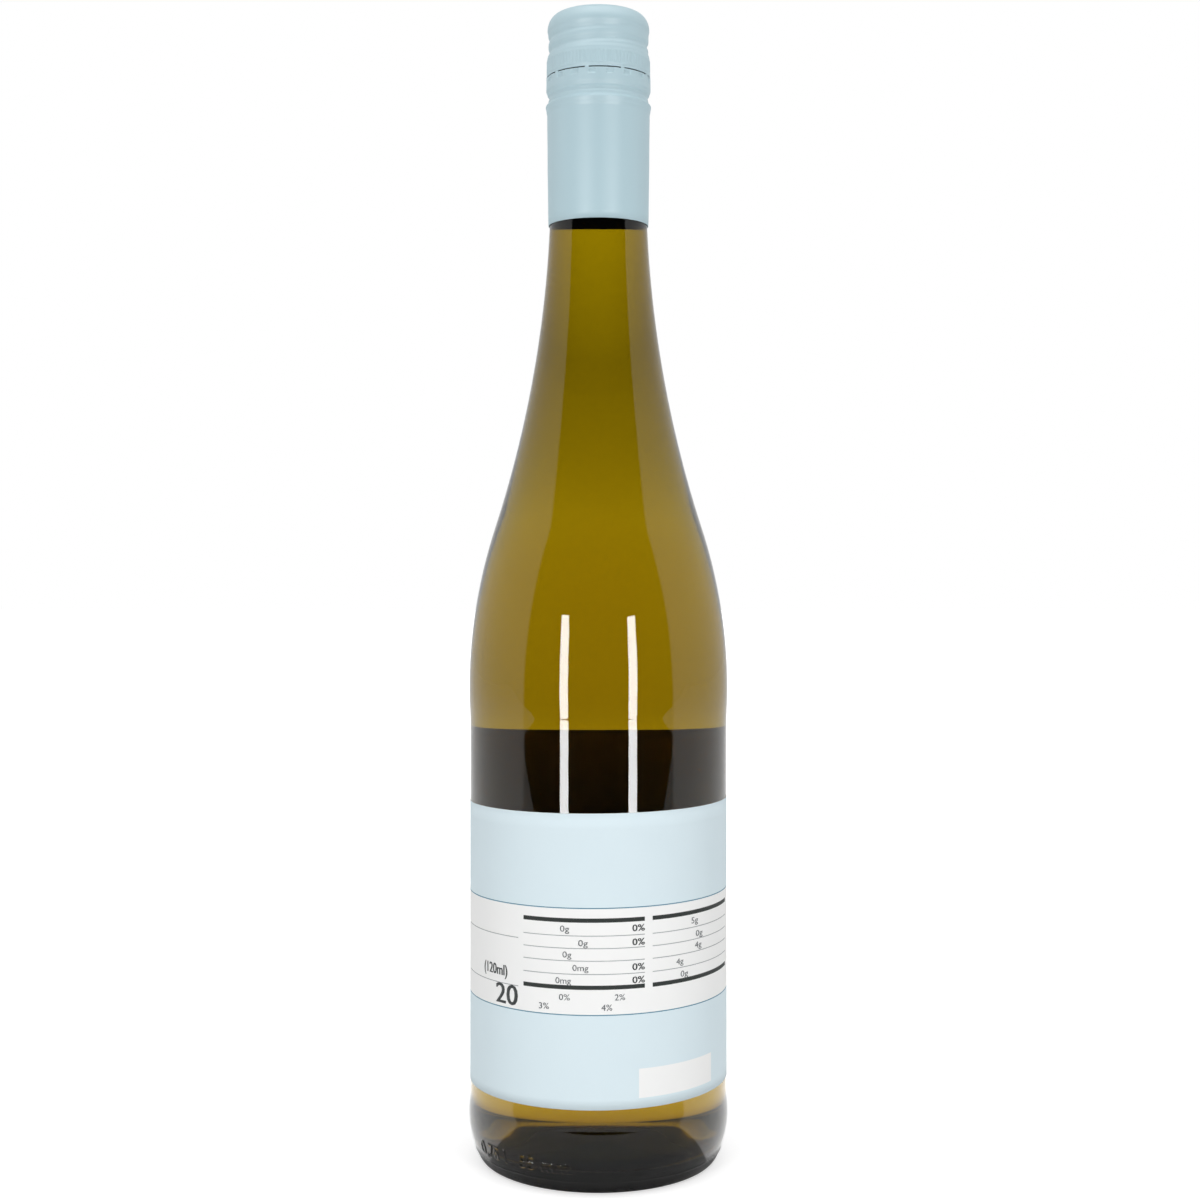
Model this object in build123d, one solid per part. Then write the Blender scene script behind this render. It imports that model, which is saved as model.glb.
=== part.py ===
from build123d import *
from math import asin, atan2, cos, degrees, pi, sin
import os

# A sealed 0.75 litre wine bottle: green glass, the wine inside, an aluminium screw cap whose
# skirt covers the top of the neck, and two paper labels. Millimetres, +Z up. The origin is the
# centre of the ring that the bottle stands on, and the middle of the back label faces -Y.

# --- glass, outside -------------------------------------------------------------------------
brim_height = 329.8
panel_radius = 37.15  # the slightly sunken band that the labels are stuck to
panel_height = 102.5
shoulder_guard = 0.33  # how far the ring above the labels stands proud of them
shoulder_guard_rise = 12.0
shoulder_arc_radius = 150.0
heel_guard = 0.6  # the same for the ring below them
heel_guard_rise = 7.5
heel_height = 14.0
heel_arc_radius = 25.6
base_edge_radius = 3.1
bearing_width = 1.6  # flat ring that touches the table
punt_height = 6.0
punt_edge_radius = 4.0
neck_radius = 13.87
straight_neck = 44.8  # length below the brim
brim_rounding = 1.4

# --- glass, inside --------------------------------------------------------------------------
side_wall = 1.82
base_thickness = 4.2
heel_floor_height = 4.5  # lowest ring of the inside, round the foot of the punt
heel_corner_radius = 9.0
floor_valley_radius = 12.0
inner_shoulder_radius = 148.0
neck_wall = 4.37

# --- wine -----------------------------------------------------------------------------------
ullage = 55.0  # empty height between the wine and the brim, as moulded on the heel

# --- screw cap: depths are measured down from its top, and steps out from the thread ---------
sheet = 0.25
liner = 1.7  # sealing disc in the crown, which the cap sits on, taken as one with the cap
finish_clearance = 0.15
skirt_clearance = 0.3
skirt_length = 61.35
crown_step = 0.56
crown_corner_radius = 4.2
crown_depth = 6.4
knurl_step = 0.83
knurl_depth_top = 12.35
knurl_depth_bottom = 17.45
knurl_count = 84
flute_depth = 0.14
slit_depth = 18.55
slit_height = 0.34
bridge_count = 9
bridge_width = 1.3
bridge_offset = 27.0  # degrees round from -Y to the first bridge
band_step = 0.9  # tamper band just under the slits
band_depth = 22.45
groove_step = 0.03  # rolled in under the band
groove_height = 0.6
waist_step = 0.3
waist_depth = 25.65
waist_height = 0.7
bead_step = 1.07
bead_height = 2.8
bend_height = 0.9  # height that the sheet takes to change from one radius to the next

# --- labels ---------------------------------------------------------------------------------
label_thickness = 0.1
label_margin = 2.55  # above the foot of the panel
label_skew = 0.57  # degrees, both edges of the back label rise to the right
back_label_height = 80.45
front_label_width = 90.0
label_gap = 8.71  # bare glass between the two labels on either side
front_label_top_margin = 1.1  # below the top of the panel

# --- what follows from those ----------------------------------------------------------------
heel_radius = panel_radius + heel_guard
panel_bottom = heel_height + heel_guard_rise
panel_top = panel_bottom + panel_height
shoulder_radius = panel_radius + shoulder_guard
shoulder_height = panel_top + shoulder_guard_rise
neck_start = brim_height - straight_neck
bore_radius = neck_radius - neck_wall
floor_height = punt_height + base_thickness
wall_radius = panel_radius - side_wall
back_label_width = 2 * pi * panel_radius - front_label_width - 2 * label_gap
thread_radius = neck_radius + finish_clearance + sheet
knurl_radius = thread_radius + knurl_step
cap_top = brim_height + liner + sheet
skirt_bottom = cap_top - skirt_length


def two_arcs(start, end, first_radius, along):
    """Two arcs from start to end, which run along the unit vector at both ends and meet tangent.

    With a step across and a run along, the turn is 2 atan(step / run), and the two radii add up
    to run / sin(turn), so the second follows from the first.
    """
    run = (end - start).dot(along)
    across = (end - start) - along * run
    turn = 2 * atan2(across.length, run)
    meet = start + along * (first_radius * sin(turn))
    meet += across.normalized() * (first_radius * (1 - cos(turn)))
    first = TangentArc(start, meet, tangent=along)
    second = TangentArc(meet, end, tangent=first % 1)
    return [first, second]


def even_arcs(start, end, along):
    """Two such arcs of one radius, so that they meet half way."""
    run = (end - start).dot(along)
    step = ((end - start) - along * run).length
    return two_arcs(start, end, run / sin(2 * atan2(step, run)) / 2, along)


def outer_line():
    """The outside of the glass as (radius, height), from the middle of the punt to the brim."""
    meet_angle = asin((heel_height - base_edge_radius) / (heel_arc_radius - base_edge_radius))
    meet = Vector(
        heel_radius - heel_arc_radius * (1 - cos(meet_angle)),
        heel_height - heel_arc_radius * sin(meet_angle),
    )
    bearing = Vector(meet.X - base_edge_radius * cos(meet_angle), 0)
    bearing_inside = bearing - Vector(bearing_width, 0)
    heel = Vector(heel_radius, heel_height)
    panel_foot = Vector(panel_radius, panel_bottom)
    panel_head = Vector(panel_radius, panel_top)
    shoulder = Vector(shoulder_radius, shoulder_height)
    neck = Vector(neck_radius, neck_start)
    brim = Vector(neck_radius, brim_height - brim_rounding)
    up = Vector(0, 1)
    base_edge = TangentArc(bearing, meet, tangent=(1, 0))
    return [
        *two_arcs(bearing_inside, Vector(0, punt_height), punt_edge_radius, Vector(-1, 0)),
        Line(bearing_inside, bearing),
        base_edge,
        TangentArc(meet, heel, tangent=base_edge % 1),
        *even_arcs(heel, panel_foot, up),
        Line(panel_foot, panel_head),
        *even_arcs(panel_head, shoulder, up),
        *two_arcs(shoulder, neck, shoulder_arc_radius, up),
        Line(neck, brim),
        TangentArc(brim, brim + Vector(-brim_rounding, brim_rounding), tangent=up),
    ]


def inner_line(top):
    """The inside of the glass, from the middle of the floor up the bore to the given height."""
    valley = Vector(wall_radius - heel_corner_radius, heel_floor_height)
    wall_foot = Vector(wall_radius, heel_floor_height + heel_corner_radius)
    wall_head = Vector(wall_radius, shoulder_height)
    bore = Vector(bore_radius, neck_start)
    return [
        *two_arcs(valley, Vector(0, floor_height), floor_valley_radius, Vector(-1, 0)),
        TangentArc(valley, wall_foot, tangent=(1, 0)),
        Line(wall_foot, wall_head),
        *two_arcs(wall_head, bore, inner_shoulder_radius, Vector(0, 1)),
        Line(bore, Vector(bore_radius, top)),
    ]


def turned(lines):
    """A solid of revolution about Z from a closed outline of (radius, height)."""
    return revolve(Plane.XZ * make_face(lines), Axis.Z)


def glass_bottle():
    """Hollow glass with a shallow punt and a straight neck, open at the brim."""
    brim_outside = Vector(neck_radius - brim_rounding, brim_height)
    brim_inside = Vector(bore_radius + brim_rounding, brim_height)
    bore_end = Vector(bore_radius, brim_height - brim_rounding)
    return turned(
        [
            *outer_line(),
            Line(brim_outside, brim_inside),
            TangentArc(brim_inside, bore_end, tangent=(-1, 0)),
            *inner_line(bore_end.Y),
            Line((0, punt_height), (0, floor_height)),
        ]
    )


def wine():
    """Wine, which fills the inside up to the ullage below the brim."""
    inside = turned(
        [
            *inner_line(brim_height),
            Polyline((bore_radius, brim_height), (0, brim_height), (0, floor_height)),
        ]
    )
    return split(inside, bisect_by=Plane.XY.offset(brim_height - ullage), keep=Keep.BOTTOM)


def neck_radius_at(height):
    """Outside radius of the glass at a height on the curve that leads into the straight neck."""
    run = neck_start - shoulder_height
    turn = 2 * atan2(shoulder_radius - neck_radius, run)
    sweep_radius = run / sin(turn) - shoulder_arc_radius
    below = max(neck_start - height, 0)
    return neck_radius + sweep_radius - (sweep_radius**2 - below**2) ** 0.5


def cap_form(inset):
    """The cap filled solid: up to its sheet's outside, or its inside where inset is the sheet."""
    skirt = neck_radius_at(skirt_bottom) + skirt_clearance + sheet - inset
    thread = thread_radius - inset
    crown = thread + crown_step
    knurl = thread + knurl_step
    band = thread + band_step
    groove = thread + groove_step
    waist = thread + waist_step
    waist_bottom = cap_top - waist_depth
    band_bottom = cap_top - band_depth
    knurl_bottom = cap_top - knurl_depth_bottom
    knurl_top = cap_top - knurl_depth_top
    crown_bottom = cap_top - crown_depth
    groove_top = band_bottom - 1.5 * bend_height
    bead_top = Vector(waist, waist_bottom)
    bead_foot = Vector(skirt, waist_bottom - bead_height)
    bead_crest = Vector(thread + bead_step, waist_bottom - bead_height / 2)
    corner = crown_corner_radius - inset
    corner_foot = Vector(crown, cap_top - crown_corner_radius)
    corner_head = corner_foot + Vector(-corner, corner)
    return turned(
        [
            Polyline((0, skirt_bottom), (skirt, skirt_bottom), bead_foot),
            ThreePointArc(bead_foot, bead_crest, bead_top),
            Polyline(
                bead_top,
                (waist, waist_bottom + waist_height),
                (groove, groove_top - groove_height),
                (groove, groove_top),
                (band, band_bottom),
                (band, knurl_bottom - bend_height),
                (knurl, knurl_bottom),
                (knurl, knurl_top - bend_height),
                (thread, knurl_top + bend_height),
                (thread, crown_bottom - bend_height),
                (crown, crown_bottom + bend_height),
                corner_foot,
            ),
            TangentArc(corner_foot, corner_head, tangent=(0, 1)),
            Polyline(corner_head, (0, corner_head.Y), (0, skirt_bottom)),
        ]
    )


def knurl_flutes():
    """Fine upright flutes pressed round the cap's grip band."""
    flute_radius = 0.45 * pi * knurl_radius / knurl_count
    length = knurl_depth_bottom - knurl_depth_top - 2 * bend_height
    flute = Cylinder(flute_radius, length, align=(Align.CENTER, Align.CENTER, Align.MIN))
    centre = knurl_radius - flute_depth + flute_radius
    flute = Pos(centre, 0, cap_top - knurl_depth_bottom + bend_height) * flute
    return [Rot(0, 0, 360 * n / knurl_count) * flute for n in range(knurl_count)]


def slit_cutters():
    """Slits cut through the sheet all round, with narrow bridges left standing between them."""
    reach = knurl_radius + 2 * sheet
    ring = Cylinder(reach, slit_height) - Cylinder(neck_radius, slit_height)
    middle = (Align.MIN, Align.CENTER, Align.CENTER)
    bridge = Box(reach, bridge_width, slit_height, align=middle)
    first = bridge_offset - 90
    for n in range(bridge_count):
        ring -= Rot(0, 0, 360 * n / bridge_count + first) * bridge
    return Pos(0, 0, cap_top - slit_depth) * ring


def screw_cap():
    """One drawn cap: lined crown, thread stretch, knurl, slits, tamper band, bead, long skirt."""
    inside = split(cap_form(sheet), bisect_by=Plane.XY.offset(brim_height), keep=Keep.BOTTOM)
    return cap_form(0) - inside - knurl_flutes() - slit_cutters()


def label(width, bottom, top, facing, skew):
    """A sheet of paper round the panel. facing is the angle of its middle from +X about Z."""
    turn = degrees(width / panel_radius)
    edge = Pos(panel_radius + label_thickness / 2, (panel_bottom + panel_top) / 2)
    section = Plane.XZ * (edge * Rectangle(label_thickness, panel_height))
    paper = Rot(0, 0, facing - turn / 2) * revolve(section, Axis.Z, turn)
    block = Box(4 * panel_radius, 4 * panel_radius, top - bottom)
    return paper & (Pos(0, 0, (top + bottom) / 2) * Rot(0, -skew, 0) * block)


def label_back():
    """The label that faces -Y. It went on slightly askew."""
    bottom = panel_bottom + label_margin
    return label(back_label_width, bottom, bottom + back_label_height, -90, label_skew)


def label_front():
    """The taller label on the far side."""
    bottom = panel_bottom + label_margin
    return label(front_label_width, bottom, panel_top - front_label_top_margin, 90, 0)


os.makedirs("parts", exist_ok=True)
for make in (glass_bottle, wine, screw_cap, label_back, label_front):
    export_step(make(), f"parts/{make.__name__}.step")
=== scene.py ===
import bpy
import numpy as np
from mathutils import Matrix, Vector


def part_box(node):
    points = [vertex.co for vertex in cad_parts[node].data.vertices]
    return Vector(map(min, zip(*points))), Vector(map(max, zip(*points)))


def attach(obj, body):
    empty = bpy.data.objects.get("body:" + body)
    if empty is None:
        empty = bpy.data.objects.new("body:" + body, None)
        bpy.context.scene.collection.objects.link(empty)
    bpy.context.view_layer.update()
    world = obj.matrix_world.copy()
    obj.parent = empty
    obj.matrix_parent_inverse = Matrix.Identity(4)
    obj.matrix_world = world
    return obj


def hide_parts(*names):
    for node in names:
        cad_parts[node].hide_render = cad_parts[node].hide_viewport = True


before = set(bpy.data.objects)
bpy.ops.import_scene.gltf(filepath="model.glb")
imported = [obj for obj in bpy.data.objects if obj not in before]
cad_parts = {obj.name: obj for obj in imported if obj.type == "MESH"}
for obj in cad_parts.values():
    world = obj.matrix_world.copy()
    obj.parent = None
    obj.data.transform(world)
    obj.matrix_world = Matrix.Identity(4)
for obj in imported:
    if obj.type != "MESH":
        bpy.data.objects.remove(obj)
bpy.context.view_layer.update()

# All shapes are worked out in millimetres round the bottle's axis. An outline is a row of complex
# numbers, radius + height * 1j, and angles are measured from +X, so that -90 degrees faces the camera.
# The origin is the centre of the ring that the bottle stands on.

# ---- The bottle -------------------------------------------------------------------------------
# Blown green glass, 1.8 mm thick at the side and over 4 mm at the neck and the base. The outside is
# formed by a two-part mould, which leaves a faint ring low on the heel, and marks the volume there.

mm = 0.001
paper_thickness = 0.1
wall_thickness = 1.82
heel_radius, _, brim = np.array(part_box("glass_bottle")[1]) / mm
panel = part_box("label_front")[1][1] / mm - paper_thickness
panel_foot, panel_head = 21.5, 124.0
shoulder = panel + 0.33 + 136.0j
neck = 13.87 + (brim - 44.8) * 1j
bore = 9.5 + neck.imag * 1j


def two_arcs(start, end, radius, along, steps):
    """Points of two arcs that leave start and reach end along one direction and meet tangent.

    With a step across and a run along, the turn is 2 atan(step / run), the radii add up to
    run / sin(turn), and a point at angle a of an arc is radius * (sin a + i (1 - cos a)).
    """
    gap = (end - start) / along
    side = np.sign(gap.imag)
    turn = 2 * np.arctan2(abs(gap.imag), gap.real)
    rest = gap.real / np.sin(turn) - radius
    angle = np.linspace(0, turn, steps)
    first = radius * (np.sin(angle) + 1j * side * (1 - np.cos(angle)))
    second = gap - rest * (np.sin(angle[-2::-1]) + 1j * side * (1 - np.cos(angle[-2::-1])))
    return start + along * np.concatenate([first, second])


def bend(centre, radius, start, end, steps):
    """Points of an arc: centre + radius * exp(i angle), with the angles in degrees."""
    return centre + radius * np.exp(1j * np.radians(np.linspace(start, end, steps)))


def straight(start, end, steps):
    """Evenly spaced points from start to end."""
    return start + (end - start) * np.linspace(0, 1, steps)


def turned(outline, angles):
    """Each point of an outline carried round the axis: (r cos a, r sin a, z), as rows of angles."""
    r, z = outline.real[:, None], outline.imag[:, None]
    return np.stack([r * np.cos(angles), r * np.sin(angles), z + 0 * angles], axis=-1)


def mesh_piece(name, points, faces):
    """An object at the origin with smooth faces, from points in millimetres."""
    mesh = bpy.data.meshes.new(name)
    mesh.from_pydata(np.reshape(points, (-1, 3)) * mm, [], faces)
    mesh.polygons.foreach_set("use_smooth", np.ones(len(mesh.polygons), bool))
    mesh.update()
    piece = bpy.data.objects.new(name, mesh)
    bpy.context.collection.objects.link(piece)
    return piece


def quads(rows, columns, first=0, around=True):
    """Corner numbers of the faces of a grid whose last column joins the first where it goes around."""
    row, column = np.mgrid[0 : rows - 1, 0 : columns if around else columns - 1]
    right = (column + 1) % columns
    corners = [row * columns + column, row * columns + right]
    corners += [(row + 1) * columns + right, (row + 1) * columns + column]
    return np.stack(corners, axis=-1).reshape(-1, 4) + first


def closed_turning(name, points):
    """A closed body from rows of points round the axis, of which the first and last row are poles."""
    rows, columns, _ = points.shape
    poles = [points[0].mean(axis=0), points[-1].mean(axis=0)]
    body = np.concatenate([points[1:-1].reshape(-1, 3), poles])
    count = len(body)
    ring = np.arange(columns)
    after = (ring + 1) % columns
    last = (rows - 3) * columns
    faces = quads(rows - 2, columns).tolist()
    faces += np.stack([np.full(columns, count - 2), after, ring], axis=-1).tolist()
    faces += np.stack([np.full(columns, count - 1), last + ring, last + after], axis=-1).tolist()
    return mesh_piece(name, body, faces)


def lettering(text, size):
    """The outline segments of a line of text in the plane, with its left foot at the origin."""
    curve = bpy.data.curves.new("letters", "FONT")
    curve.body = text
    curve.size = size
    curve.resolution_u = 4
    letters = bpy.data.objects.new("letters", curve)
    mesh = bpy.data.meshes.new_from_object(letters)
    corner_edges = np.zeros(len(mesh.loops), int)
    mesh.loops.foreach_get("edge_index", corner_edges)
    edges = np.zeros(2 * len(mesh.edges), int)
    mesh.edges.foreach_get("vertices", edges)
    spots = np.zeros(3 * len(mesh.vertices))
    mesh.vertices.foreach_get("co", spots)
    rim = edges.reshape(-1, 2)[np.bincount(corner_edges, minlength=len(mesh.edges)) == 1]
    spots = spots.reshape(-1, 3)[:, :2]
    bpy.data.objects.remove(letters)
    return spots[rim[:, 0]] @ [1, 1j], spots[rim[:, 1]] @ [1, 1j]


def relief(place, ends, height, swell, slope):
    """Height of raised letters at each place: s * s * (3 - 2 s), where s climbs from 0 to 1 over the
    slope's width, and starts at the swell's distance outside their outline.

    The distance to a segment is |place - nearest point|. A place is inside where an odd number of
    segments lies to its right.
    """
    start, end = ends
    way = end - start
    flat = place.reshape(-1, 1)
    share = np.clip(((flat - start) * way.conj()).real / abs(way) ** 2, 0, 1)
    distance = abs(flat - start - share * way).min(axis=1)
    level = (flat.imag >= start.imag) != (flat.imag >= end.imag)
    crossing = start.real + (flat.imag - start.imag) / np.where(way.imag == 0, 1, way.imag) * way.real
    inside = (level & (crossing > flat.real)).sum(axis=1) % 2 == 1
    signed = np.where(inside, distance, -distance)
    climb = np.clip((signed + swell) / slope, 0, 1).reshape(place.shape)
    return height * climb * climb * (3 - 2 * climb)


# Outline: punt, bearing ring, base edge, heel, panel, shoulder, neck, brim, and back down inside.
heel_arc, base_edge = 25.6, 3.1
meet = np.degrees(np.arcsin((14.0 - base_edge) / (heel_arc - base_edge)))
heel_centre = heel_radius - heel_arc + 14.0j
edge_centre = (heel_centre + (heel_arc - base_edge) * np.exp(-1j * np.radians(meet))).real + base_edge * 1j
bearing = edge_centre.real
wall = panel - wall_thickness
outside = [
    two_arcs(bearing - 1.6 + 0j, 6.0j, 4.0, -1, 14)[::-1],
    bend(edge_centre, base_edge, -90, -meet, 8),
    bend(heel_centre, heel_arc, -meet, -24.5, 7)[1:],
    bend(heel_centre, heel_arc, -24.1, -5.7, 46),
    bend(heel_centre, heel_arc, -5.0, 0, 5),
    two_arcs(heel_radius + 14.0j, panel + panel_foot * 1j, 23.9, 1j, 5)[1:],
    straight(panel + panel_foot * 1j, panel + panel_head * 1j, 6)[1:],
    two_arcs(panel + panel_head * 1j, shoulder, 109.2, 1j, 6)[1:],
    two_arcs(shoulder, neck, 150.0, 1j, 30)[1:],
    straight(neck, neck.real + (brim - 1.4) * 1j, 4)[1:],
    bend(neck.real - 1.4 + (brim - 1.4) * 1j, 1.4, 15, 90, 5),
]
inside = [
    bend(bore.real + 1.4 + (brim - 1.4) * 1j, 1.4, 90, 180, 5),
    two_arcs(wall + shoulder.imag * 1j, bore, 148.0, 1j, 28)[::-1],
    bend(wall - 9.0 + 13.5j, 9.0, 0, -90, 14),
    two_arcs(wall - 9.0 + 4.5j, 10.2j, 12.0, -1, 10)[1:],
]
outline = np.concatenate(outside + inside)

# Round it, the columns lie closer where the moulded letters are, from -63 to -12.5 degrees off -Y.
facing = np.radians(
    np.concatenate([np.linspace(-63, -12.5, 217) - 90, np.linspace(-12.5, 297, 132)[1:-1] - 90])
)
glass_points = turned(outline, facing)

# The moulded marks stand on the lower heel: the volume and the level it is measured at. The mould's
# ring is a low rounded ridge under them. Both push the outside out along its own normal.
outer = slice(0, len(np.concatenate(outside)))
slant = np.gradient(outline[outer])
normal = -1j * slant / abs(slant)
around = np.degrees(facing) + 90
letter_foot, letter_size, letter_height = 6.3, 5.6, 0.3
letter_radius = 37.0
lean = 0.985
mark = np.zeros((len(outline[outer]), len(facing)))
height_along = (outline[outer].imag - letter_foot) / lean
for text, left in (("0,75 l", -62.5), ("55 mm", -36.5)):
    across = np.radians(around - left) * letter_radius
    rows = (outline[outer].real > 30) & (outline[outer].imag > 5.6) & (outline[outer].imag < 11)
    columns = (across > -0.5) & (across < 18)
    place = across[None, columns] + 1j * height_along[rows, None]
    letters = relief(place, lettering(text, letter_size), letter_height, 0.25, 0.5)
    mark[np.ix_(rows, columns)] += letters
ring_height, ring_middle, ring_width = 0.1, 4.0, 0.22
outward_side = outline[outer].real > 34
mould_ring = ring_height * np.exp(-(((outline[outer].imag - ring_middle) / ring_width) ** 2))
mark += (mould_ring * outward_side)[:, None]
push = turned(normal, facing)
glass_points[outer] += push * mark[..., None]
bottle = closed_turning("bottle_glass", glass_points)


class Number:
    """A number inside a finish. Arithmetic on it adds Math nodes to the finish."""

    def __init__(self, finish, socket):
        self.finish = finish
        self.socket = socket

    def math(self, operation, first, second):
        """The named operation on two values, of which either may be a plain number."""
        return self.finish.node("ShaderNodeMath", {"operation": operation}, {0: first, 1: second})

    def __add__(self, other):
        return self.math("ADD", self, other)

    def __sub__(self, other):
        return self.math("SUBTRACT", self, other)

    def __rsub__(self, other):
        return self.math("SUBTRACT", other, self)

    def __mul__(self, other):
        return self.math("MULTIPLY", self, other)

    def __rtruediv__(self, other):
        return self.math("DIVIDE", other, self)

    __radd__ = __add__
    __rmul__ = __mul__


class Finish:
    """A material, or the light of the room, that is put together node by node."""

    def __init__(self, owner, output="ShaderNodeOutputMaterial"):
        self.owner = owner
        self.owner.use_nodes = True
        self.tree = self.owner.node_tree
        self.tree.nodes.clear()
        self.output = self.tree.nodes.new(output)

    def node(self, kind, settings, inputs, output=0):
        """A node of the given type: its settings first, then its sockets' values or links."""
        new = self.tree.nodes.new(kind)
        for key, value in settings.items():
            setattr(new, key, value)
        for key, value in inputs.items():
            if isinstance(value, Number):
                self.tree.links.new(value.socket, new.inputs[key])
            else:
                new.inputs[key].default_value = value
        return Number(self, new.outputs[output])

    def surface(self, shader):
        """Makes the shader the finish's surface."""
        self.tree.links.new(shader.socket, self.output.inputs["Surface"])

    def volume(self, shader):
        """Makes the shader what fills the piece."""
        self.tree.links.new(shader.socket, self.output.inputs["Volume"])

    def ramp(self, value, start, end, low, high):
        """The value's share of the way from start to end, laid between low and high, and held there."""
        return self.node("ShaderNodeMapRange", {}, {0: value, 1: start, 2: end, 3: low, 4: high})

    def mix(self, share, first, second):
        """The first colour at a share of 0, the second at 1, and their mix between."""
        inputs = {"Factor": share, "A": first, "B": second}
        return self.node("ShaderNodeMix", {"data_type": "RGBA"}, inputs, 2)

    def dot(self, first, second):
        """The dot product of two directions: the sum of their parts' products."""
        return self.node("ShaderNodeVectorMath", {"operation": "DOT_PRODUCT"}, {0: first, 1: second}, 1)

    def ray(self, kind):
        """1 for the named kind of ray and 0 for the others."""
        return self.node("ShaderNodeLightPath", {}, {}, kind)

    def noise(self, scale, detail):
        """Noise from 0 to 1 over the piece, at so many waves a metre."""
        place = self.node("ShaderNodeTexCoord", {}, {}, "Object")
        return self.node("ShaderNodeTexNoise", {}, {"Vector": place, "Scale": scale, "Detail": detail})

    def bump(self, height, strength, distance):
        """The surface's direction, tilted by the slope of the height, which is worth a distance."""
        inputs = {"Height": height, "Strength": strength, "Distance": distance}
        return self.node("ShaderNodeBump", {}, inputs)

    def put_on(self, piece):
        """Adds the material to the piece's own."""
        piece.data.materials.append(self.owner)


def srgb(red, green, blue):
    """A colour given as 0 to 255 on a screen, as the linear values that a shader takes."""
    share = np.array([red, green, blue]) / 255
    linear = np.where(share <= 0.04045, share / 12.92, ((share + 0.055) / 1.055) ** 2.4)
    return (*linear.tolist(), 1.0)


# Olive green glass, a little wavy from blowing. Its inside is wetted by the wine, whose index is close
# to its own, so it hardly shines there.
wetted_rows = np.zeros(len(outline) - 2)
wetted_rows[len(np.concatenate(outside)) + 3 :] = 1.0
wetness = bottle.data.attributes.new("wetted", "FLOAT", "POINT")
wetness.data.foreach_set("value", np.append(np.repeat(wetted_rows, len(facing)), [0.0, 1.0]))
glass = Finish(bpy.data.materials.new("olive_glass"))
clear = {"Base Color": (1.0, 1.0, 1.0, 1.0), "Transmission Weight": 1.0, "Roughness": 0.0, "IOR": 1.52}
clear["Normal"] = glass.bump(glass.noise(45.0, 1.0), 0.12, 0.0004)
dry = glass.node("ShaderNodeBsdfPrincipled", {}, clear)
clear["Specular Tint"] = (0.08, 0.08, 0.08, 1.0)
wet = glass.node("ShaderNodeBsdfPrincipled", {}, clear)
wetted = glass.node("ShaderNodeAttribute", {"attribute_name": "wetted"}, {}, "Fac")
glass.surface(glass.node("ShaderNodeMixShader", {}, {0: wetted, 1: dry, 2: wet}))
absorbed = {"Color": (0.899, 0.873, 0.15, 1.0), "Density": 1300.0}
glass.volume(glass.node("ShaderNodeVolumeAbsorption", {}, absorbed))
glass.put_on(bottle)
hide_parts("glass_bottle")
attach(bottle, "root")

# ---- The wine -----------------------------------------------------------------------------------
# White wine up to 55 mm below the brim. It wets the glass, so its body reaches a little way into the
# wall and no air shows between them. Its level is hidden by the cap's skirt.

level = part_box("wine")[1][2] / mm
sunk = 0.15
wine_wall = wall + sunk
wine_bore = bore + sunk
wine_corner = 9.0 + sunk
wine_outline = np.concatenate(
    [
        two_arcs(wine_wall - wine_corner + (4.5 - sunk) * 1j, (10.2 - sunk) * 1j, 12.0, -1, 10)[::-1],
        bend(wine_wall - wine_corner + 13.5j, wine_corner, -90, 0, 14)[1:],
        straight(wine_wall + 13.5j, wine_wall + shoulder.imag * 1j, 4)[1:],
        two_arcs(wine_wall + shoulder.imag * 1j, wine_bore, 148.0, 1j, 28)[1:],
    ]
)
wine_outline = wine_outline[wine_outline.imag < level]
wine_outline = np.append(wine_outline, [wine_outline[-1].real + level * 1j, level * 1j])
wine = closed_turning("wine_body", turned(wine_outline, np.linspace(0, 2 * np.pi, 200, endpoint=False)))
drink = Finish(bpy.data.materials.new("white_wine"))
clear = {"Base Color": (1.0, 1.0, 1.0, 1.0), "Transmission Weight": 1.0, "Roughness": 0.0, "IOR": 1.34}
clear["Specular Tint"] = (0.08, 0.08, 0.08, 1.0)
drink.surface(drink.node("ShaderNodeBsdfPrincipled", {}, clear))
straw = {"Color": (0.85, 0.68, 0.0, 1.0), "Density": 30.0}
drink.volume(drink.node("ShaderNodeVolumeAbsorption", {}, straw))
drink.put_on(wine)
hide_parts("wine")
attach(wine, "root")

# ---- The screw cap ------------------------------------------------------------------------------
# One aluminium cap, 0.25 mm thick, drawn, rolled on to the neck and lacquered pale blue. The thread
# is pressed through it below the crown, and the knurl, the slits and the bands under them are rolled.

skirt_foot, cap_top = (corner[2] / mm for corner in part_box("screw_cap"))


def smooth(value, start, end):
    """0 at start to 1 at end, with no kink: s * s * (3 - 2 s), where s is the share of the way."""
    s = np.clip((value - start) / (end - start), 0, 1)
    return s * s * (3 - 2 * s)


def ridge(value, middle, half):
    """1 in the middle, falling to 0 half a width away: (1 + cos) / 2."""
    return 0.5 + 0.5 * np.cos(np.pi * np.clip((value - middle) / half, -1, 1))


# Height and radius where each ring is widest or narrowest, from the dome's foot down to the edge.
rings = np.array([327.3, 325.9, 320.4, 318.9, 317.9, 314.3, 313.9, 313.3, 309.6, 308.5, 307.8, 307.1])
rings = np.append(rings, [306.5, 305.9, 304.9, 303.7, 302.4, 290.0, 274.0, 270.3])
ring_radii = np.array([14.87, 14.60, 14.52, 14.88, 15.06, 15.08, 14.98, 15.16, 15.18, 14.84, 14.32, 14.30])
ring_radii = np.append(ring_radii, [14.56, 14.58, 15.34, 15.13, 14.92, 14.82, 14.65, 14.55])


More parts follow.
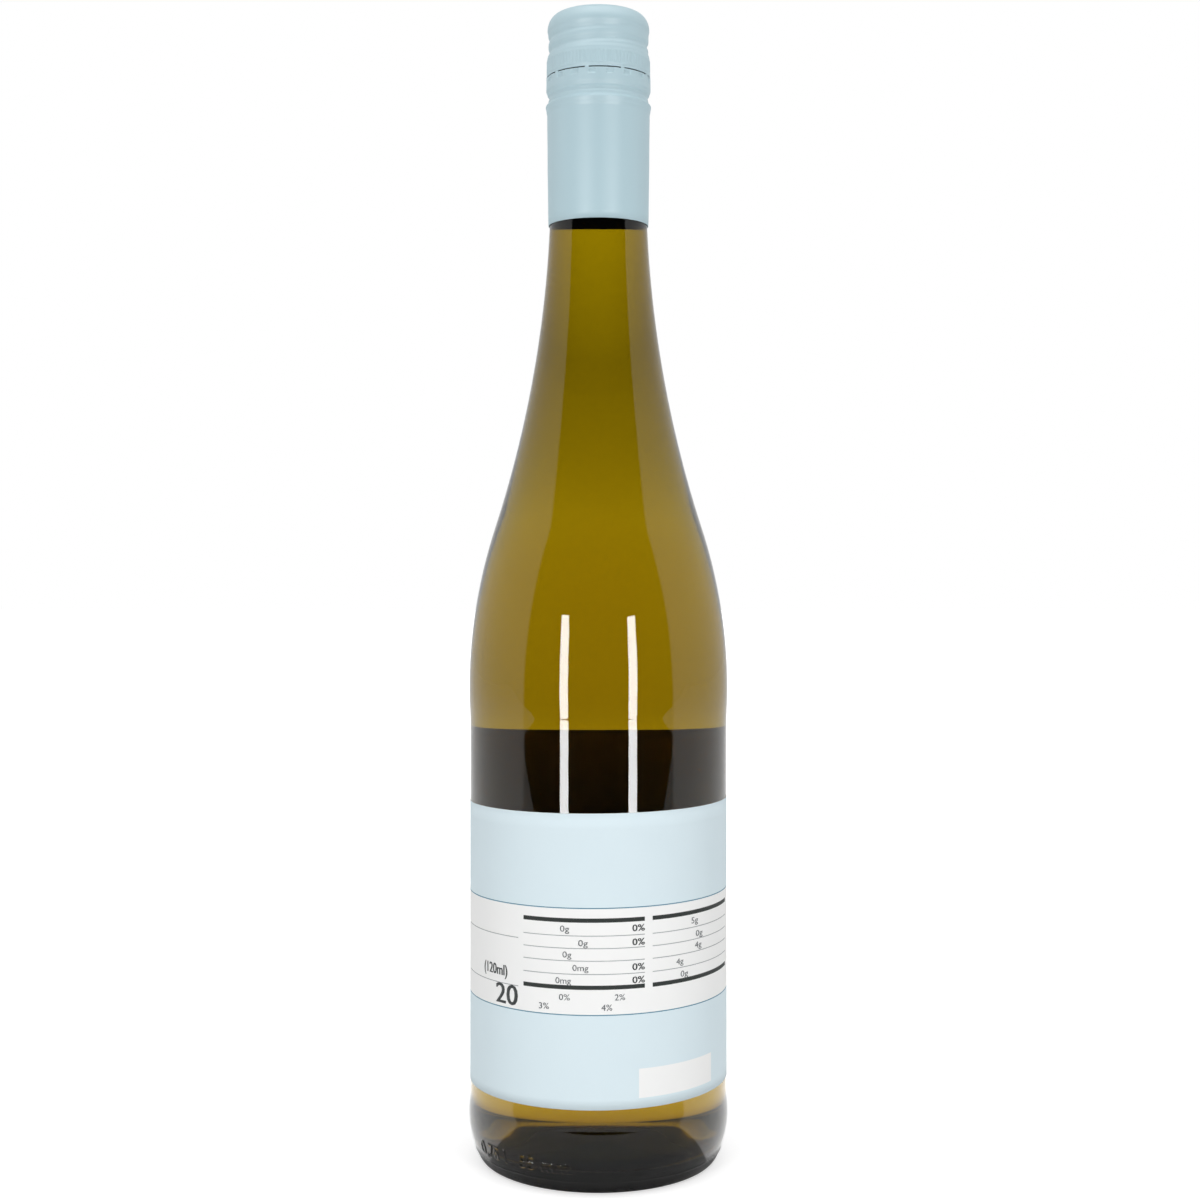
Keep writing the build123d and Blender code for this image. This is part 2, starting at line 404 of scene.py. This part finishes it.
def cap_radius(height, angle):
    """Radius of the cap at a height above the table, with the angle from the middle of its front.

    Between two rings it runs along a smooth step. The thread is a groove that climbs 3.5 mm a turn,
    the knurl a row of 84 cosine waves, and 18 shallow pads lie evenly round the tamper band.
    """
    height = height + 0 * angle
    after = np.clip(np.searchsorted(-rings, -height), 1, len(rings) - 1)
    share = smooth(height, rings[after - 1], rings[after])
    r = ring_radii[after - 1] + (ring_radii[after] - ring_radii[after - 1]) * share
    for lap in (-1, 0, 1, 2):
        groove = 321.6 + 3.5 * (angle / (2 * np.pi) + lap)
        shown = smooth(groove, 319.9, 321.0) * (1 - smooth(groove, 324.7, 325.8))
        r = r - 0.46 * shown * ridge(height, groove, 1.35)
    knurled = smooth(height, 314.3, 314.9) * (1 - smooth(height, 317.6, 318.4))
    r = r - 0.14 * (0.5 + 0.5 * np.cos(84 * angle)) * knurled
    pad = smooth(abs((angle * 9 / np.pi + 0.35) % 1.0 - 0.5), 0.27, 0.33)
    return r - 0.3 * pad * smooth(height, 311.3, 311.6) * (1 - smooth(height, 312.6, 312.9))


def cap_body(heights, columns, top=None):
    """A stretch of the cap as a grid of heights by angles, under the outline of its crown, if any."""
    angle = np.linspace(0, 2 * np.pi, columns, endpoint=False)
    r = cap_radius(heights[:, None], angle[None, :] + np.pi / 2)
    points = np.stack([r * np.cos(angle), r * np.sin(angle), heights[:, None] + 0 * r], axis=-1)
    if top is not None:
        points = np.concatenate([turned(top, angle), points])
    return points, angle


def sheet_metal(piece):
    """Gives the surface the thickness of its sheet, inwards, with its second material inside."""
    solid = piece.modifiers.new("sheet", "SOLIDIFY")
    solid.thickness = 0.25 * mm
    solid.offset = -1
    solid.use_even_offset = True
    solid.material_offset = 1


# The crown and the grip above the slits. Its corner is a quarter of an oval, 3.7 by 4.6 mm.
crown_flat, crown_wide, crown_tall = 11.13, 3.7, 4.6
corner = np.radians(np.linspace(90, 4, 14))
oval = crown_wide * np.cos(corner) + 1j * crown_tall * (np.sin(corner) - 1)
crown_flat_end = crown_flat + cap_top * 1j
crown_outline = np.concatenate([straight(cap_top * 1j, crown_flat_end, 4)[1:], crown_flat_end + oval])
slit = 313.2
heights = np.concatenate([np.linspace(326.9, 318.4, 40), np.linspace(318.2, 313.6, 26), [slit + 0.2]])
points, angle = cap_body(heights, 504, crown_outline)
rows, columns, _ = points.shape
body = np.concatenate([points.reshape(-1, 3), [[0, 0, cap_top]]])
ring = np.arange(columns)
faces = quads(rows, columns)[:, ::-1].tolist()
faces += np.stack([np.full(columns, len(body) - 1), ring, (ring + 1) % columns], axis=-1).tolist()
grip = mesh_piece("cap_grip", body, faces)

# The tamper band and the skirt below the slits, with the bridges standing up to the grip.
heights = [[slit + 0.2, slit - 0.2], np.linspace(312.95, 302.0, 64), np.linspace(300.5, skirt_foot, 14)]
heights = np.concatenate(heights)
points, angle = cap_body(heights, 450)
rows, columns, _ = points.shape
faces = quads(rows, columns)[:, ::-1]
degrees_off = (np.degrees(angle) + 90 - 27) % 40
bridge = np.minimum(degrees_off, 40 - degrees_off) < 2.4
keep = np.ones(len(faces), bool)
keep[:columns] = bridge & np.roll(bridge, -1)
skirt = mesh_piece("cap_skirt", points, faces[keep].tolist())

lacquer = Finish(bpy.data.materials.new("pale_blue_lacquer"))
grain = lacquer.noise(900.0, 3.0)
soft = lacquer.noise(25.0, 2.0)
look = {"Base Color": lacquer.mix(soft, srgb(178, 208, 218), srgb(185, 213, 222)), "IOR": 2.1}
look["Roughness"] = 0.44 + 0.08 * grain
look["Normal"] = lacquer.bump(grain, 0.15, 0.00005)
lacquer.surface(lacquer.node("ShaderNodeBsdfPrincipled", {}, look))
bare = Finish(bpy.data.materials.new("dark_inside_lacquer"))
stain = bare.noise(300.0, 2.0)
look = {"Base Color": bare.mix(stain, srgb(16, 22, 25), srgb(24, 32, 36)), "Roughness": 0.5 + 0.1 * stain}
bare.surface(bare.node("ShaderNodeBsdfPrincipled", {}, look))
for piece in (grip, skirt):
    sheet_metal(piece)
    lacquer.put_on(piece)
    bare.put_on(piece)
    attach(piece, "root")
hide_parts("screw_cap")
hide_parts("screw_cap")

# ---- The back label -----------------------------------------------------------------------------
# Pale blue matt paper, 0.1 mm thick, glued round the panel a little askew. A white table with thick
# and thin black rules and plain figures is printed across it between two fine blue lines.

paper_radius = panel + paper_thickness
skew = np.tan(np.radians(0.57))
front_half = 45.0
gap_between = 8.71
label_half = np.pi * panel - front_half - gap_between
glued_in = 0.05
paper_blue = srgb(217, 232, 238)
paper_white = srgb(243, 243, 242)
print_black = srgb(45, 50, 48)
line_blue = srgb(86, 136, 158)

# Each field is left, right, foot, head along the label in millimetres, and its colour. Later ones
# lie on top. u runs to the right round the label from the middle of its face.
fields = [(-label_half, label_half, 49.8, 78.8, paper_white)]
fields += [(-label_half, label_half, z - 0.15, z + 0.15, line_blue) for z in (49.8, 78.8)]
rule_gray = srgb(152, 156, 158)
fields += [(-52.0, -23.6, z - 0.11, z + 0.11, rule_gray) for z in (56.4, 69.7)]
for left, right in ((-21.8, 12.9), (15.2, 49.8)):
    fields += [(left, right, z - 0.11, z + 0.11, rule_gray) for z in (71.3, 67.9, 64.5, 60.9)]
    fields += [(left, right, z - 0.58, z + 0.58, print_black) for z in (57.3, 75.5)]
fields += [(11.2, 37.7, 26.8, 34.8, paper_white)]


def paper_sheet(name, middle, half, foot, head, tilt, fields, front, back):
    """A closed sheet of paper round the panel, coloured face by face.

    A place u along the sheet and z up it lies at angle u / radius from that of the middle, and at
    height z + tilt * u. The grid has a line at every field's edge, so that the print is sharp.
    """
    u = np.linspace(-half, half, int(2 * half / 1.2))
    z = np.linspace(foot, head, int((head - foot) / 4))
    cuts = np.array([field[:4] for field in fields]).reshape(-1, 4)
    u = np.unique(np.clip(np.round(np.concatenate([u, cuts[:, 0], cuts[:, 1]]), 3), -half, half))
    z = np.unique(np.round(np.concatenate([z, cuts[:, 2], cuts[:, 3]]), 3))
    angle = u / paper_radius + middle
    layers = []
    for r in (paper_radius, panel - glued_in):
        height = z[:, None] + tilt * u[None, :]
        places = [r * np.cos(angle) + 0 * height, r * np.sin(angle) + 0 * height, height]
        layers.append(np.stack(places, axis=-1))
    rows, columns = len(z), len(u)
    count = rows * columns
    face_front = quads(rows, columns, 0, False)
    face_back = quads(rows, columns, count, False)[:, ::-1]
    row, column = np.arange(rows - 1) * columns, np.arange(columns - 1)
    rims = []
    foot_and_head = [(column, 1, 1), (column + count - columns, 1, -1)]
    left_and_right = [(row, columns, -1), (row + columns - 1, columns, 1)]
    for line, step, flip in foot_and_head + left_and_right:
        rim = np.stack([line + step, line, line + count, line + step + count], axis=-1)
        rims.append(rim[:, ::flip])
    faces = np.concatenate([face_front, face_back, *rims])
    piece = mesh_piece(name, np.concatenate([layer.reshape(-1, 3) for layer in layers]), faces.tolist())
    colours = np.tile(np.array(back), (len(faces), 1))
    middle_u, middle_z = np.meshgrid((u[1:] + u[:-1]) / 2, (z[1:] + z[:-1]) / 2)
    shown = np.tile(np.array(front), (rows - 1, columns - 1, 1))
    for left, right, low, high, colour in fields:
        shown[(middle_u > left) & (middle_u < right) & (middle_z > low) & (middle_z < high)] = colour
    colours[: len(face_front)] = shown.reshape(-1, 4)
    ink = piece.data.color_attributes.new("print", "FLOAT_COLOR", "CORNER")
    ink.data.foreach_set("color", np.repeat(colours, 4, axis=0).ravel())
    smooth_faces = np.ones(len(faces), bool)
    smooth_faces[len(face_front) + len(face_back) :] = False
    piece.data.polygons.foreach_set("use_smooth", smooth_faces)
    return piece


# The glued side of both labels: a gray-beige that is partly painted shade, toned down so that the labels'
# backs look dim inside the glass.
glue_gray_with_painted_shade = srgb(176, 158, 130)
back_label = paper_sheet(
    "label_back_paper", -np.pi / 2, label_half, 24.05, 104.5, skew, fields, paper_blue, glue_gray_with_painted_shade
)


def figures(name, lines, bold):
    """Printed figures, each a (text, left, right, middle, height), fitted and wrapped on the label.

    Across, the outline is stretched to run from left to right. Upright, it is scaled so that its
    tallest sign has the height, and the middle of that lies at the given z. Bold print is three
    copies, side by side, each a little further to the right.
    """
    places, faces = [], []
    count = 0
    for text, left, right, middle, tall in lines:
        curve = bpy.data.curves.new("figures", "FONT")
        curve.body = text
        curve.resolution_u = 3
        flat = bpy.data.objects.new("figures", curve)
        mesh = bpy.data.meshes.new_from_object(flat)
        bpy.data.objects.remove(flat)
        spots = np.zeros(3 * len(mesh.vertices))
        mesh.vertices.foreach_get("co", spots)
        x, y = spots.reshape(-1, 3)[:, :2].T
        x = (right - left - 2 * bold * tall) * (x - x.min()) / (x.max() - x.min())
        for shift in np.linspace(0, 2 * bold * tall, 3 if bold else 1):
            across = left + shift + x
            up = middle - tall / 2 + tall * y / y.max() + skew * across
            angle = across / paper_radius - np.pi / 2
            r = paper_radius + 0.05
            places.append(np.stack([r * np.cos(angle), r * np.sin(angle), up], axis=-1))
            faces += [[corner + count for corner in face.vertices] for face in mesh.polygons]
            count += len(x)
    piece = mesh_piece(name, np.concatenate(places), faces)
    thick = piece.modifiers.new("ink", "SOLIDIFY")
    thick.thickness = 0.06 * mm
    thick.offset = -1
    return piece


first, second, third, fourth, fifth = 73.2, 69.4, 66.2, 62.65, 59.1
bold_lines = [("20", -32.4, -23.7, 53.6, 5.5), ("(120ml)", -38.4, -27.6, 60.0, 2.9)]
bold_lines += [("0%", 9.3, 12.9, z, 1.8) for z in (first, second, fourth, fifth)]
fine_lines = [("0g", -10.6, -8.0, first, 1.65), ("0g", -5.5, -2.9, second, 1.65)]
fine_lines += [("0g", -9.9, -7.4, third, 1.65), ("0mg", -7.1, -2.7, fourth, 1.65)]
fine_lines += [("0mg", -11.9, -7.5, fifth, 1.65)]
fine_lines += [("0%", -10.9, -7.8, 54.6, 1.65), ("2%", 4.45, 7.3, 54.6, 1.65)]
fine_lines += [("3%", -16.8, -13.8, 51.9, 1.65), ("4%", 0.8, 3.75, 51.9, 1.65)]
fine_lines += [("5g", 28.4, 31.1, first, 1.65), ("0g", 30.2, 33.2, second, 1.65)]
fine_lines += [("4g", 29.8, 32.7, third, 1.65), ("4g", 22.8, 25.3, fourth, 1.65)]
fine_lines += [("0g", 24.3, 27.0, fifth, 1.65)]
bold_figures = figures("label_figures_bold", bold_lines, 0.03)
fine_figures = figures("label_figures_fine", fine_lines, 0.0)

paper = Finish(bpy.data.materials.new("label_paper"))
printed = paper.node("ShaderNodeVertexColor", {"layer_name": "print"}, {})
fibre = paper.noise(1400.0, 4.0)
mottle = paper.noise(120.0, 3.0)
tint = {"Factor": mottle, "A": printed, "B": (0.975, 0.98, 0.985, 1.0)}
tinted = paper.node("ShaderNodeMix", {"data_type": "RGBA", "blend_type": "MULTIPLY"}, tint, 2)
look = {"Base Color": tinted, "Roughness": 0.6 + 0.15 * fibre, "Specular IOR Level": 0.3}
look["Normal"] = paper.bump(fibre, 0.2, 0.00004)
paper.surface(paper.node("ShaderNodeBsdfPrincipled", {}, look))
paper.put_on(back_label)


def ink_finish(name, dark, light):
    """Printer's ink: fine noise mixes the dark colour with the light one and roughens it."""
    ink = Finish(bpy.data.materials.new(name))
    patch = ink.noise(2200.0, 2.0)
    look = {"Base Color": ink.mix(patch, dark, light), "Roughness": 0.45 + 0.1 * patch}
    ink.surface(ink.node("ShaderNodeBsdfPrincipled", {}, look))
    return ink


ink_finish("black_ink", srgb(36, 41, 42), srgb(56, 62, 62)).put_on(bold_figures)
ink_finish("gray_ink", srgb(82, 87, 90), srgb(104, 109, 112)).put_on(fine_figures)
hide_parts("label_back")
for piece in (back_label, bold_figures, fine_figures):
    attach(piece, "root")

# ---- The front label ----------------------------------------------------------------------------
# The same paper on the far side, taller and narrower, and left plain. Its glued side is a gray-beige with
# painted shade in it, and looks dark through the glass and the wine.

front_label = paper_sheet(
    "label_front_paper", np.pi / 2, front_half, 24.05, 122.9, 0.0, [], paper_blue, glue_gray_with_painted_shade
)
paper.put_on(front_label)
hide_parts("label_front")
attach(front_label, "root")

# ---- The studio ---------------------------------------------------------------------------------
# A short white table in a white room, with two slim upright lamps beside the camera and a softbox
# over it. Shiny faces see the dark end of the room behind the camera, between its bright sides.

table_side, table_front, table_back = 3000, -430, 6000
table = [[-table_side, table_front, 0], [table_side, table_front, 0]]
table += [[table_side, table_back, 0], [-table_side, table_back, 0]]
floor = mesh_piece("floor", table, [[0, 1, 2, 3]])

# The table keeps the bottle's real shadow: to the camera it glows white, less near the bottle so that the
# shadow shows. Through glass its light is painted: a glow on a black base, brightest close to the bottle,
# with a painted shadow of no glow under its base. Mirrored, it shows that painted glow only at its sides
# and is dark in front, as it finds the room.
white = Finish(bpy.data.materials.new("white_floor"))
spot = white.node("ShaderNodeTexCoord", {}, {}, "Object")
distance = white.node("ShaderNodeVectorMath", {"operation": "LENGTH"}, {0: spot}, 1)
outward = white.node("ShaderNodeVectorMath", {"operation": "NORMALIZE"}, {0: spot})
# Painted shadow: the glow stops where the base stands on the table.
painted_shadow_under_base = white.ramp(distance, 0.037, 0.044, 0.0, 1.0)
open_floor = white.ramp(distance, 0.1, 0.5, 0.6, 1.0)
# Painted reflection: mirrored rays see the glow only beside the bottle, not in front of it.
painted_reflection_beside = white.ramp(white.dot(outward, (0.0, -1.0, 0.0)), 0.35, 0.39, 1.0, 0.0)
# Painted pool of light: the glow falls with the inverse of the distance from the bottle.
painted_table_glow = 0.53 + 0.12 / distance
camera_ray = white.ray("Is Camera Ray")
through_ray = white.ray("Is Transmission Ray")
mirrored = white.ray("Is Glossy Ray") * (1 - through_ray)
# The painted glow for each kind of ray. It is emission, not light from a lamp.
painted_floor_glow = camera_ray * open_floor + painted_shadow_under_base * painted_table_glow * (through_ray + 0.7 * mirrored * painted_reflection_beside)
look = {"Base Color": white.mix(through_ray, (0.62, 0.62, 0.62, 1.0), (0.0, 0.0, 0.0, 1.0))}
look["Emission Color"] = white.mix(painted_floor_glow, (0.0, 0.0, 0.0, 1.0), (1.0, 1.0, 1.0, 1.0))
look.update({"Emission Strength": 1.0, "Roughness": 1.0, "Specular IOR Level": 0.0})
white.surface(white.node("ShaderNodeBsdfPrincipled", {}, look))
white.put_on(floor)

# The room is white to the camera. Through glass its wall brightens upwards from the table, up to a
# dark ceiling. To all other rays it is bright, but for its dark end, up to 68 degrees off -Y.
world = bpy.data.worlds.new("room")
bpy.context.scene.world = world
room = Finish(world, "ShaderNodeOutputWorld")
way = room.node("ShaderNodeTexCoord", {}, {}, "Generated")
front = room.dot(way, (0.0, -1.0, 0.0))
rise = room.dot(way, (0.0, 0.0, 1.0))
wall_light = room.ramp(rise, 0.0, 0.14, 0.53, 1.0)
below_ceiling = room.ramp(rise, 0.2, 0.27, 1.0, 0.05)
aside = room.ramp(front - 0.12 * rise, 0.35, 0.39, 0.75, 0.02)
camera_ray = room.ray("Is Camera Ray")
through_ray = room.ray("Is Transmission Ray")
strength = camera_ray + through_ray * wall_light * below_ceiling + (1 - camera_ray - through_ray) * aside
room_light = {"Color": (1.0, 1.0, 1.0, 1.0), "Strength": strength}
room.surface(room.node("ShaderNodeBackground", {}, room_light))

lamp_distance, lamp_height, lamp_width = 0.75, 0.345, 0.096
lamp_radiance, softbox_radiance = 18, 1.7
for side in (-1, 1):
    lamp = bpy.data.lights.new(f"slim_lamp_{side}", "AREA")
    lamp.shape = "RECTANGLE"
    lamp.size, lamp.size_y = lamp_width, lamp_height
    lamp.energy = lamp_radiance * np.pi * lamp_width * lamp_height
    stand = bpy.data.objects.new(lamp.name, lamp)
    bearing_angle = np.radians(-90 + side * 29.4)
    reach = lamp_distance * np.exp(1j * bearing_angle)
    stand.location = (reach.real, reach.imag, lamp_height / 2)
    stand.rotation_euler = (np.pi / 2, 0, bearing_angle + np.pi / 2)
    stand.visible_transmission = False
    bpy.context.collection.objects.link(stand)

overhead = bpy.data.lights.new("overhead_softbox", "AREA")
overhead.shape = "RECTANGLE"
overhead.size, overhead.size_y = 1.7, 0.9
overhead.energy = softbox_radiance * np.pi * overhead.size * overhead.size_y
hanger = bpy.data.objects.new("overhead_softbox", overhead)
hanger.location = (0, -0.48, 1.43)
hanger.rotation_euler = (np.radians(23.4), 0, 0)
hanger.visible_transmission = False
bpy.context.collection.objects.link(hanger)

camera_data = bpy.data.cameras.new("camera")
camera_data.lens = 54.45
camera_data.sensor_width = 36.0
camera_data.shift_x = 0.0013
camera_data.shift_y = -0.0313
camera = bpy.data.objects.new("camera", camera_data)
camera.location = (0, -0.529, 0.1727)
camera.rotation_euler = (np.pi / 2, 0, 0)
bpy.context.collection.objects.link(camera)
bpy.context.scene.camera = camera
bpy.context.scene.view_settings.view_transform = "Standard"
